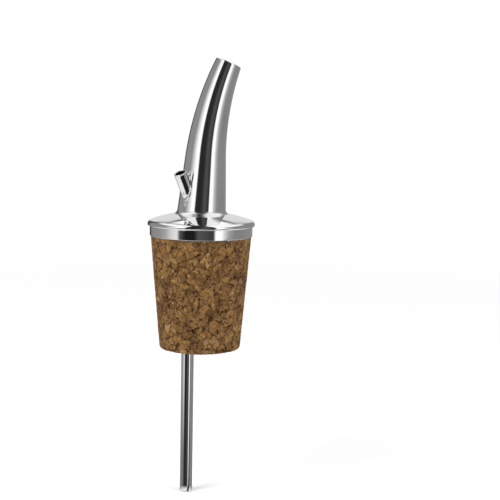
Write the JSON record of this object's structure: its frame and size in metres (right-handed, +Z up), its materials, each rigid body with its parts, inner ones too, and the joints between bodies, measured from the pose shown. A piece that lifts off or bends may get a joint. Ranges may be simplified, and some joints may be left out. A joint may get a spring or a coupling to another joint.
{
  "type": "bottle pour spout",
  "caption": "Free-flow bottle pourer: tapered metal spout leaning from a domed collar, over a tapered cork stopper, with a thin breather tube for air.",
  "frame": {"origin": "centre of the collar's underside, on the cork's axis, where the cork begins", "axes": "+Z up along the cork's axis towards the mouth, +X the way the mouth leans; the vent stands behind, 33 degrees round from -X towards -Y"},
  "size_m": [0.0256, 0.0256, 0.1044],
  "materials": {
    "polished_steel": "mirror polish",
    "solder": "polished solder",
    "agglomerated_cork": "sanded granular cork"
  },
  "bodies": {
    "root": {"spout_tube": "polished_steel", "collar_cap": "polished_steel", "collar_cup": "polished_steel", "pour_shank": "polished_steel", "cork_stopper": "agglomerated_cork", "breather_tube": "polished_steel", "spout_solder": "solder", "vent_solder": "solder", "flange_solder": "solder", "tube_tack": "solder"}
  },
  "joints": []
}
